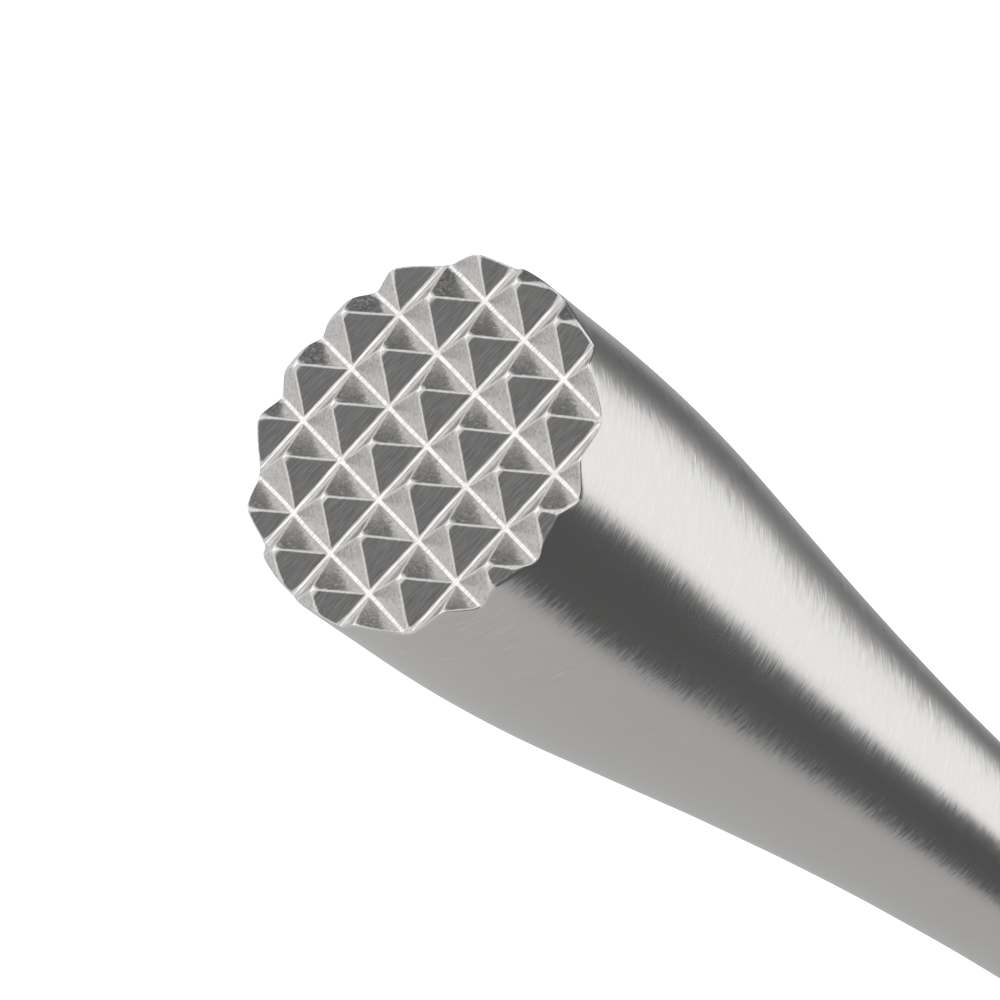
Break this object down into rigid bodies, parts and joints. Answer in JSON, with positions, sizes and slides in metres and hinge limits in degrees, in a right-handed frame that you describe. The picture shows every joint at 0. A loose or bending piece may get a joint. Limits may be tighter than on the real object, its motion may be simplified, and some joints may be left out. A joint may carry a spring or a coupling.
{
  "type": "muddler",
  "caption": "Brushed stainless steel muddler: slim waisted handle that flares to a round head with pyramid teeth for crushing fruit and herbs.",
  "frame": {"origin": "centre of the flat on the butt end, which the muddler stands on", "axes": "+Z along the axis from the butt to the teeth; X and Y along the two sets of grooves in the head"},
  "size_m": [0.028, 0.028, 0.225],
  "materials": {
    "cast_head": "investment-cast tooth faces with a fine grain, brushed skirt",
    "brushed_shell": "satin, brushed around the axis",
    "brushed_cap": "satin, brushed around the axis, turned foot",
    "ground_weld": "ground flush and brushed with the shells",
    "plain_inner": "plain drawn stainless steel"
  },
  "bodies": {
    "root": {"toothed_head": "cast_head", "flared_shell": "brushed_shell", "grip_shell": "brushed_shell", "butt_cap": "brushed_cap", "waist_sleeve": "plain_inner", "vent_pin": "plain_inner", "head_weld": "ground_weld", "waist_weld": "ground_weld", "cap_weld": "ground_weld"}
  },
  "joints": []
}
